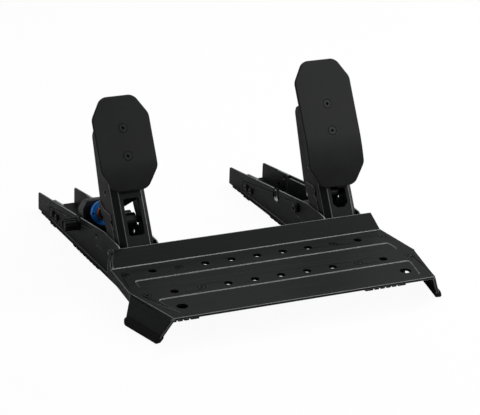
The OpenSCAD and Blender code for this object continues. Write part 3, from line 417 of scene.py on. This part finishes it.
# a copy of a node with its edges broken, as cut, folded or turned metal has them
def softened(node, radiusMm, material=None, edge=None, folds=()):
    piece = bpy.data.objects.new(node + "_piece", frame["nodes"][node].data.copy())
    bpy.context.scene.collection.objects.link(piece)
    editMode(piece)
    bpy.ops.mesh.select_all(action="SELECT")
    bpy.ops.mesh.remove_doubles(threshold=softening["merge"])
    bpy.ops.mesh.dissolve_limited(angle_limit=math.radians(softening["flatAngle"]))
    for wanted, foldMm in folds:
        selectWhere(piece, "EDGE", lambda e: wanted(*[piece.data.vertices[i].co / mm for i in e.vertices]))
        bpy.ops.mesh.bevel(offset=foldMm * mm, segments=softening["foldSegments"], affect="EDGES")
    # triangles keep the flats from folding over where a bevel meets a hole
    bpy.ops.mesh.select_all(action="SELECT")
    bpy.ops.mesh.quads_convert_to_tris(quad_method="BEAUTY", ngon_method="BEAUTY")
    bpy.ops.object.mode_set(mode="OBJECT")
    paint(piece, node, material, edge)
    # the bevel's new faces take the painted edge highlight where one is given
    applyModifier(piece, "BEVEL", "edges", width=radiusMm * mm, segments=softening["segments"],
                  limit_method="ANGLE", angle_limit=math.radians(softening["breakAngle"]),
                  use_clamp_overlap=False, material=1 if edge else -1)
    # a broken edge lies within its radius of the solid, and the wide fold within a third of its round
    reach = wing["foldRound"] / 3 if folds else radiusMm
    pullIn(piece, frame["nodes"][node], reach * mm)
    return finishPiece(piece, node + "_piece", node)


# the frame of an arm: x across, y up the arm, z towards the driver
def armMatrix(x):
    upright = Matrix.Rotation(math.radians(90), 4, "X")
    lean = Matrix.Rotation(-math.radians(arm["lean"]), 4, "X")
    return Matrix.Translation((x, arm["pivotY"], arm["pivotZ"])) @ lean @ upright


# pressed and folded steel
sheetRadius = {
    "brake_rail": 0.2, "accelerator_rail": 0.2,
    "brake_rail_bracket": 0.4, "accelerator_rail_bracket": 0.4,
    "brake_side_plates": 0.4, "accelerator_side_plates": 0.4,
    "brake_rear_bracket": 0.4, "accelerator_rear_bracket": 0.4,
    "brake_arm": 0.5, "accelerator_arm": 0.5,
    "brake_arm_plates": 0.35, "accelerator_arm_plates": 0.35,
    "brake_arm_brace": 0.4,
}
# the wings are folded along a line from the plate's waist to its front corner, with a wide round
wing = {"waist": Vector((163.5, -125)), "front": Vector((147.5, -198)), "top": 30, "foldRound": 2.4,
        "aside": 0.3, "above": 0.1, "shortest": 5}
flange = {"bendY": -62.5, "bendReach": 3, "bendLean": (-0.75, -0.1), "topZ": 44, "cornerX": 140,
          "round": 5, "sheet": (0.5, 4), "aside": 0.2}
# how much of a face's normal points up: on an upper edge, on a thin plate's edge, on a flat
facing = {"upper": 0.5, "thin": 0.4, "flat": 0.95, "thinAside": 0.3}


def onWingFold(a, b):
    along = (wing["front"] - wing["waist"]).normalized()
    for end in (a, b):
        away = Vector((abs(end.x), end.y)) - wing["waist"]
        if abs(end.z - wing["top"]) > wing["above"] or abs(along.cross(away)) > wing["aside"]:
            return False
    return (a - b).length > wing["shortest"]


# the short edges through the sheet at the two upper corners of the rear flange
def onFlangeCorner(a, b):
    thinnest, thickest = flange["sheet"]
    through = abs(a.x - b.x) < flange["aside"] and thinnest < (a - b).length < thickest
    return through and abs(a.x) > flange["cornerX"] and min(a.z, b.z) > flange["topZ"]


# two rows of countersunk holes, and two larger ones that bolt the set to a rig
holes = {"pitch": 30, "columns": 11, "rows": (-136, -79), "rim": 6.5,
         "rigX": 127, "rigY": -171.5, "rigRim": 8}
holePlaces = [((column - holes["columns"] // 2) * holes["pitch"], row, holes["rim"])
              for column in range(holes["columns"]) for row in holes["rows"]]
holePlaces += [(side * holes["rigX"], holes["rigY"], holes["rigRim"]) for side in (-1, 1)]


# the rounded foot of the rear flange, whose faces lean towards the driver
def onBend(centre, normal):
    most, least = flange["bendLean"]
    leans = most < normal.y < least and normal.z > facing["upper"]
    return leans and abs(centre.y - flange["bendY"]) < flange["bendReach"]


def nearHole(centre, normal):
    return any(math.hypot(centre.x - x, centre.y - y) < rim for x, y, rim in holePlaces)


def inCountersink(centre, normal):
    return nearHole(centre, normal) and abs(normal.z) < facing["flat"]


heelPlate = softened("heel_plate", 0.5, material=rolledCoat, edge=paintedEdgeHighlight,
                     folds=((onWingFold, wing["foldRound"]), (onFlangeCorner, flange["round"])))
# around the holes the broken edges keep the plain coat instead of the painted edge highlight
refinish(heelPlate, nearHole, rolledCoat)
# the countersinks in the plate get the painted shade
refinish(heelPlate, inCountersink, paintedShade)
# the rounded foot of the rear flange gets the painted edge highlight
refinish(heelPlate, onBend, paintedEdgeHighlight)

# painted highlight on the upper edges: walls up to the bracket, plates and ears all along
upperEdges = {"low": 12, "rearEnd": 154.5}
wall = {"half": 22.5, "peak": 47, "peakY": -1.5, "slope": math.tan(math.radians(7.1)),
        "front": -43, "edge": 3, "seamFoot": 9, "seamDepths": (0.03, 0.55)}
window = {"half": 8.65, "foot": 26.5, "top": 67, "rim": 1.5}


def onUpperEdge(centre, normal):
    looksUp = normal.z > facing["upper"]
    return looksUp and centre.z > upperEdges["low"] and centre.y < upperEdges["rearEnd"]


def onPlateEdge(centre, normal):
    return abs(normal.x) < facing["thinAside"] and normal.z > facing["thin"]


# the walls' sides with their slots and holes, which keep the plain coat
def belowWallTop(centre, normal):
    top = wall["peak"] - wall["slope"] * max(0, centre.y - wall["peakY"])
    return centre.y > wall["front"] and top - centre.z > wall["edge"]


# the foot and the sides of the line pressed into a rail's outer walls
def inWallSeam(centre, normal):
    depth = wall["half"] - abs(abs(centre.x) - arm["acceleratorX"] / mm)
    least, most = wall["seamDepths"]
    return least < depth < most and belowWallTop(centre, normal) and centre.z > wall["seamFoot"]


def nearWindow(centre, normal):
    place = armMatrix(0).inverted() @ (centre * mm) / mm
    across = abs(abs(place.x) - arm["acceleratorX"] / mm)
    along = abs(place.y - (window["foot"] + window["top"]) / 2)
    return (across < window["half"] + window["rim"]
            and along < (window["top"] - window["foot"]) / 2 + window["rim"])


for node, radius in sheetRadius.items():
    piece = softened(node, radius, edge=paintedEdgeHighlight)
    if node.endswith("_rail"):
        refinish(piece, belowWallTop, finishes["black_steel"])
        # the foot and sides of the pressed line get the painted shade
        refinish(piece, inWallSeam, paintedShade)
    if node.endswith("_arm"):
        refinish(piece, nearWindow, finishes["black_steel"])
    # upward-facing upper edges and thin plate edges get the painted highlight
    if node.endswith(("_rail", "side_plates", "rear_bracket")):
        refinish(piece, onUpperEdge, upperEdgeHighlight)
    if node.endswith("arm_plates"):
        refinish(piece, onPlateEdge, upperEdgeHighlight)
print("sheet metal softened")

# turned and milled pieces
turnedRadius = {
    "heel_plate_screws": 0.2, "brake_face_screws": 0.25, "accelerator_face_screws": 0.25,
    "brake_rear_bolts": 0.25, "accelerator_rear_bolts": 0.25, "trunnion_bolts": 0.3, "cup_screws": 0.15,
    "brake_pivot_axle": 0.4, "accelerator_pivot_axle": 0.4,
    "brake_rod_pin": 0.4, "accelerator_rod_pin": 0.4,
    "blue_cup": 0.5, "load_cell_carriage": 0.5, "load_cell": 0.5, "plunger": 0.4, "cross_shaft": 0.4,
    "lock_nut": 0.3, "rebound_nut": 0.3, "trunnion": 0.4, "control_box": 0.4, "control_lid": 0.3,
    "brake_face_spacer": 0.5, "accelerator_face_spacer": 0.5,
    "left_wing_boot": 0.6, "right_wing_boot": 0.6, "brake_rail_foot": 0.3, "accelerator_rail_foot": 0.3,
}
ledge = {"low": 5, "high": 6}


# the lip of a rubber foot, which stands out under the rail's wall
def onLedge(centre, normal):
    return normal.z > facing["upper"] and ledge["low"] < centre.z < ledge["high"]


for node, radius in turnedRadius.items():
    piece = softened(node, radius)
    if node.endswith("rail_foot"):
        # the top of the foot's lip gets the painted highlight
        refinish(piece, onLedge, upperEdgeHighlight)
print("turned pieces softened")


# curved pedal face, cut from a plane, thickened, rounded at its front edge and bent below the lower screw
def makeFace(node, x, width, rise, fall, bendRadius):
    face = {"width": width, "thick": 3 * mm, "front": 43.1 * mm, "screwU": 109.3 * mm, "screwGap": 30 * mm,
            "cutX": 13.5 * mm, "cutU": 22 * mm, "round": 11 * mm, "edge": 1.3 * mm, "rearEdge": 0.4 * mm,
            "rows": 22, "bendBelow": 6 * mm, "near": 0.2 * mm}
    # sides at 45 degrees, from the drill's radius out to the wide one above the face
    sink = {"drillR": 2.55 * mm, "wideR": 6.2 * mm, "above": 1 * mm, "drillLength": 12 * mm,
            "drillMiddle": 3.5 * mm}
    half = face["width"] / 2
    top = face["screwU"] + rise
    foot = face["screwU"] - fall
    selectNothing()
    bpy.ops.mesh.primitive_plane_add(size=1, location=(0, (top + foot) / 2, face["front"]))
    piece = bpy.context.active_object
    piece.scale = (face["width"], top - foot, 1)
    settle(piece)
    editMode(piece)
    for sideX in (-1, 1):
        for endY, up in ((top, 1), (foot, -1)):
            normal = Vector((sideX * face["cutU"], up * face["cutX"], 0)).normalized()
            bpy.ops.mesh.select_all(action="SELECT")
            bpy.ops.mesh.bisect(plane_co=(sideX * half, endY - up * face["cutU"], 0), plane_no=normal,
                                clear_outer=True)
    # the two kinds of corner turn by different angles, so the same rounding needs two widths
    cutTurn = math.atan2(face["cutX"], face["cutU"])
    selectWhere(piece, "VERT", lambda v: abs(abs(v.co.x) - half) < face["near"])
    bpy.ops.mesh.bevel(offset=face["round"] * math.tan(cutTurn / 2), segments=8, affect="VERTICES")
    selectWhere(piece, "VERT", lambda v: min(abs(v.co.y - top), abs(v.co.y - foot)) < face["near"])
    bpy.ops.mesh.bevel(offset=face["round"] * math.tan((math.pi / 2 - cutTurn) / 2), segments=10,
                       affect="VERTICES")
    bpy.ops.mesh.select_all(action="SELECT")
    bpy.ops.mesh.extrude_region_move(TRANSFORM_OT_translate={"value": (0, 0, -face["thick"])})
    bpy.ops.mesh.select_all(action="SELECT")
    bpy.ops.mesh.normals_make_consistent(inside=False)
    frontZ = face["front"]

    def liesAt(edge, height):
        return all(abs(piece.data.vertices[i].co.z - height) < face["near"] for i in edge.vertices)

    selectWhere(piece, "EDGE", lambda e: liesAt(e, frontZ))
    bpy.ops.mesh.bevel(offset=face["edge"], segments=4, affect="EDGES")
    selectWhere(piece, "EDGE", lambda e: liesAt(e, frontZ - face["thick"]))
    bpy.ops.mesh.bevel(offset=face["rearEdge"], segments=2, affect="EDGES")
    bpy.ops.object.mode_set(mode="OBJECT")
    # the two screws sit in countersinks, each cut with a cone and a drill made in one piece
    coneDepth = sink["wideR"] - sink["drillR"]
    drillTop = sink["drillLength"] / 2 - sink["drillMiddle"]
    for screwY in (face["screwU"], face["screwU"] + face["screwGap"]):
        selectNothing()
        bpy.ops.mesh.primitive_cylinder_add(vertices=48, radius=sink["drillR"], depth=sink["drillLength"],
                                            location=(0, screwY, frontZ - sink["drillMiddle"]))
        tool = bpy.context.active_object
        editMode(tool)
        selectWhere(tool, "FACE", lambda f: f.normal.z > 0.9)
        # the drill's top is pulled back to the sink's foot, widened and then drawn out past the face
        bpy.ops.transform.translate(value=(0, 0, sink["above"] - coneDepth - drillTop))
        bpy.ops.mesh.extrude_region_move(TRANSFORM_OT_translate={"value": (0, 0, coneDepth)})
        wide = sink["wideR"] / sink["drillR"]
        bpy.ops.transform.resize(value=(wide, wide, 1))
        bpy.ops.object.mode_set(mode="OBJECT")
        settle(tool)
        applyModifier(piece, "BOOLEAN", "countersink", operation="DIFFERENCE", solver="EXACT", object=tool)
        bpy.data.objects.remove(tool)
    editMode(piece)
    # rows of cuts below the lower screw let the plate bend there
    bendTop = face["screwU"] - face["bendBelow"]
    justAbove = 0.05 * mm
    for row in range(face["rows"] + 1):
        cutY = foot + (bendTop - foot) * row / face["rows"] + justAbove
        bpy.ops.mesh.select_all(action="SELECT")
        bpy.ops.mesh.bisect(plane_co=(0, cutY, 0), plane_no=(0, 1, 0), threshold=1e-7)
    bpy.ops.object.mode_set(mode="OBJECT")
    bendStart = face["screwU"]
    for vertex in piece.data.vertices:
        drop = bendStart - vertex.co.y
        if drop > 0:
            depth = frontZ - vertex.co.z
            turn = math.asin(min(0.999, drop / bendRadius))
            vertex.co.y = bendStart - (bendRadius - depth) * math.sin(turn)
            vertex.co.z = frontZ - bendRadius + (bendRadius - depth) * math.cos(turn)
    settle(piece, armMatrix(x))
    return finishPiece(piece, node + "_plate", node, 30)


makeFace("brake_face", arm["brakeX"], 64 * mm, 64.8 * mm, 36 * mm, 110 * mm)
makeFace("accelerator_face", arm["acceleratorX"], 67 * mm, 79.4 * mm, 60.6 * mm, 190 * mm)
print("pedal faces bent")


# clamp knob with twelve ribs, a collar against the rail and a dished end
def makeKnob(node, side):
    knob = {"gap": 0.3 * mm, "length": 16.5 * mm, "radius": 6.2 * mm, "sides": 48, "ribs": 12,
            "rib": 0.95 * mm, "rim": 1.2 * mm, "dish": 0.8 * mm, "edge": 0.18 * mm,
            "collarR": 7.8 * mm, "collar": 2 * mm, "overlap": 0.2 * mm, "y": 74 * mm, "z": 29.4 * mm}
    selectNothing()
    bodyLength = knob["length"] - knob["collar"]
    bpy.ops.mesh.primitive_cylinder_add(vertices=knob["sides"], radius=knob["radius"], depth=bodyLength,
                                        location=(0, 0, knob["collar"] + bodyLength / 2))
    piece = bpy.context.active_object
    settle(piece)
    editMode(piece, "FACE")
    ribPitch = 360 / knob["ribs"]

    # every second pair of the sides is raised to a rib
    def onRib(face):
        turn = math.degrees(math.atan2(face.center.y, face.center.x)) % ribPitch
        return abs(face.normal.z) < 0.5 and turn < ribPitch / 2

    selectWhere(piece, "FACE", onRib)
    bpy.ops.mesh.extrude_region_shrink_fatten(TRANSFORM_OT_shrink_fatten={"value": knob["rib"]})
    selectWhere(piece, "FACE", lambda f: f.normal.z > 0.9)
    bpy.ops.mesh.inset(thickness=knob["rim"])
    bpy.ops.mesh.extrude_region_move(TRANSFORM_OT_translate={"value": (0, 0, -knob["dish"])})
    bpy.ops.object.mode_set(mode="OBJECT")
    collarLength = knob["collar"] + knob["overlap"]
    bpy.ops.mesh.primitive_cylinder_add(vertices=knob["sides"], radius=knob["collarR"], depth=collarLength,
                                        location=(0, 0, collarLength / 2))
    collar = bpy.context.active_object
    settle(collar)
    applyModifier(piece, "BOOLEAN", "collar", operation="UNION", solver="EXACT", object=collar)
    bpy.data.objects.remove(collar)
    applyModifier(piece, "BEVEL", "edges", width=knob["edge"], segments=2, limit_method="ANGLE",
                  angle_limit=math.radians(40), use_clamp_overlap=False)
    outward = Matrix.Rotation(math.radians(90 * side), 4, "Y")
    seatX = arm["brakeX"] + side * (wall["half"] * mm + knob["gap"])
    place = Matrix.Translation((seatX, knob["y"], knob["z"]))
    settle(piece, place @ outward)
    return finishPiece(piece, node + "_grip", node, 30)


makeKnob("left_knob", -1)
makeKnob("right_knob", 1)
print("knobs made")


# place of the rods: y runs from the rod pin along the rod
rod = {"pinY": -15.424 * mm, "pinZ": 62.586 * mm, "brakeTurn": -13.62, "acceleratorTurn": -37.83}


def rodMatrix(x, turn):
    return Matrix.Translation((x, rod["pinY"], rod["pinZ"])) @ Matrix.Rotation(math.radians(turn), 4, "X")


# turns a piece made along z so that it lies along the rod, from start on
def alongRod(start):
    return Matrix.Translation((0, start, 0)) @ Matrix.Rotation(math.radians(-90), 4, "X")


# return spring: a ring of wire swept up six turns, with its two ends cut square
def makeSpring():
    spring = {"turns": 6, "radius": 8 * mm, "wire": 0.9 * mm, "start": 10.9 * mm, "end": 38.2 * mm,
              "wireSides": 12, "steps": 36, "keep": 0.43}
    selectNothing()
    bpy.ops.mesh.primitive_circle_add(vertices=spring["wireSides"], radius=spring["wire"],
                                      location=(spring["radius"], 0, 0), rotation=(math.radians(90), 0, 0))
    piece = bpy.context.active_object
    settle(piece)
    steps = spring["steps"] * spring["turns"]
    applyModifier(piece, "SCREW", "coil", angle=2 * math.pi * spring["turns"], axis="Z",
                  screw_offset=spring["end"] - spring["start"], steps=steps, render_steps=steps,
                  use_normal_calculate=True)
    editMode(piece, "EDGE")
    bpy.ops.mesh.select_all(action="SELECT")
    bpy.ops.mesh.remove_doubles(threshold=1e-6)
    bpy.ops.mesh.select_non_manifold(extend=False)
    bpy.ops.mesh.edge_face_add()
    bpy.ops.mesh.select_all(action="SELECT")
    bpy.ops.mesh.normals_make_consistent(inside=False)
    bpy.ops.object.mode_set(mode="OBJECT")
    place = rodMatrix(arm["acceleratorX"], rod["acceleratorTurn"])
    settle(piece, place @ alongRod(spring["start"]))
    finishPiece(piece, "return_spring_coil", "return_spring", 60)
    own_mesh(piece)


makeSpring()


# urethane blocks in the cup, barrelled a little under their preload
def makeBlock(node, start):
    block = {"radius": 7.5 * mm, "length": 5 * mm, "crown": 0.15 * mm, "edge": 0.7 * mm, "keep": 0.6,
             "rear": 83.48 * mm, "near": 0.1 * mm}
    selectNothing()
    bpy.ops.mesh.primitive_cylinder_add(vertices=64, radius=block["radius"], depth=block["length"])
    piece = bpy.context.active_object
    settle(piece)
    editMode(piece)
    bpy.ops.mesh.select_all(action="SELECT")
    bpy.ops.mesh.bisect(plane_co=(0, 0, 0), plane_no=(0, 0, 1))
    selectWhere(piece, "VERT", lambda v: abs(v.co.z) < block["near"])
    grow = 1 + block["crown"] / block["radius"]
    bpy.ops.transform.resize(value=(grow, grow, 1))
    bpy.ops.object.mode_set(mode="OBJECT")
    applyModifier(piece, "BEVEL", "edges", width=block["edge"], segments=3, limit_method="ANGLE",
                  angle_limit=math.radians(40))
    place = rodMatrix(arm["brakeX"], rod["brakeTurn"])
    settle(piece, place @ alongRod(start + block["length"] / 2))
    finishPiece(piece, node + "_block", node, 40)
    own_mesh(piece)


makeBlock("elastomer_front", 73.48 * mm)
makeBlock("elastomer_rear", 78.48 * mm)
print("spring and blocks made")

# the nodes that stay as they are get their finishes
for nodeName, node in frame["nodes"].items():
    node.data.materials.clear()
    node.data.materials.append(finishes[slotOf[nodeName]])


# camera as the photograph has it
camera = {"place": (-0.9238, -1.93012, 0.87408), "turn": (69.06, -1.793, -25.29), "lens": 159.05}
cameraData = bpy.data.cameras.new("camera")
cameraData.lens = camera["lens"]
cameraData.sensor_width = 36
cameraData.sensor_fit = "HORIZONTAL"
cameraData.clip_end = 30
cameraObject = bpy.data.objects.new("camera", cameraData)
cameraObject.location = camera["place"]
cameraObject.rotation_euler = [math.radians(a) for a in camera["turn"]]
bpy.context.scene.collection.objects.link(cameraObject)
bpy.context.scene.camera = cameraObject


# plain studio: one big soft lamp above, one for the faces and two strips for the edges
def addLamp(name, place, aim, size, power):
    lampData = bpy.data.lights.new(name, "AREA")
    lampData.shape = "RECTANGLE"
    lampData.size = size[0]
    lampData.size_y = size[1]
    lampData.energy = power
    lamp = bpy.data.objects.new(name, lampData)
    lamp.location = place
    lamp.rotation_euler = (Vector(aim) - Vector(place)).to_track_quat("-Z", "Y").to_euler()
    bpy.context.scene.collection.objects.link(lamp)


addLamp("lamp above", (0.55, 0.1, 1.6), (0, 0, 0), (1.3, 1.1), 19)
addLamp("lamp for the faces", (0.95, -1.0, 1.0), (0.0, 0.0, 0.12), (0.9, 0.35), 10)
addLamp("strip on the left", (-1.1, 1.3, 0.6), (0, 0, 0.05), (0.3, 1.2), 4)
addLamp("strip on the right", (1.5, 0.4, 0.9), (0, 0, 0.05), (0.3, 1.2), 14)

# the camera sees white behind the set, and its metal mirrors a share of that white
studio = {"around": 0.2, "behind": 1.0, "mirrored": 0.25, "floorSize": 40, "floorDrop": 0.3 * mm,
          "floorPaint": 0.75, "floorGlow": 0.95}
world = bpy.data.worlds.new("studio")
world.use_nodes = True
bpy.context.scene.world = world
tree = world.node_tree
tree.nodes.clear()
rays = addNode(tree, "ShaderNodeLightPath")
seen = addNode(tree, "ShaderNodeMath", {"operation": "MAXIMUM"})
tree.links.new(rays.outputs["Is Camera Ray"], seen.inputs[0])
tree.links.new(rays.outputs["Is Transmission Ray"], seen.inputs[1])
mirrored = addNode(tree, "ShaderNodeMath", {"operation": "MULTIPLY"})
tree.links.new(rays.outputs["Is Glossy Ray"], mirrored.inputs[0])
mirrored.inputs[1].default_value = studio["mirrored"]
white = addNode(tree, "ShaderNodeMath", {"operation": "MAXIMUM"})
tree.links.new(seen.outputs[0], white.inputs[0])
tree.links.new(mirrored.outputs[0], white.inputs[1])
around = addNode(tree, "ShaderNodeBackground", inputs={"Color": (1, 1, 1, 1), "Strength": studio["around"]})
behind = addNode(tree, "ShaderNodeBackground", inputs={"Color": (1, 1, 1, 1), "Strength": studio["behind"]})
mix = addNode(tree, "ShaderNodeMixShader")
tree.links.new(white.outputs[0], mix.inputs[0])
tree.links.new(around.outputs[0], mix.inputs[1])
tree.links.new(behind.outputs[0], mix.inputs[2])
worldOutput = addNode(tree, "ShaderNodeOutputWorld")
tree.links.new(mix.outputs[0], worldOutput.inputs["Surface"])

selectNothing()
bpy.ops.mesh.primitive_plane_add(size=studio["floorSize"], location=(0, 0, -studio["floorDrop"]))
floor = bpy.context.active_object
floor.name = "floor"
floorMaterial = bpy.data.materials.new("white studio floor")
floorMaterial.use_nodes = True
tree = floorMaterial.node_tree
tree.nodes.clear()
floorPaint = addNode(tree, "ShaderNodeBsdfDiffuse", inputs={"Color": [studio["floorPaint"]] * 3 + [1]})
glow = addNode(tree, "ShaderNodeEmission", inputs={"Color": (1, 1, 1, 1), "Strength": 1.0})
rays = addNode(tree, "ShaderNodeLightPath")
share = addNode(tree, "ShaderNodeMath", {"operation": "MULTIPLY"})
tree.links.new(rays.outputs["Is Camera Ray"], share.inputs[0])
share.inputs[1].default_value = studio["floorGlow"]
mix = addNode(tree, "ShaderNodeMixShader")
tree.links.new(share.outputs[0], mix.inputs[0])
tree.links.new(floorPaint.outputs[0], mix.inputs[1])
tree.links.new(glow.outputs[0], mix.inputs[2])
floorOutput = addNode(tree, "ShaderNodeOutputMaterial")
tree.links.new(mix.outputs[0], floorOutput.inputs["Surface"])
floor.data.materials.append(floorMaterial)
print("studio set")
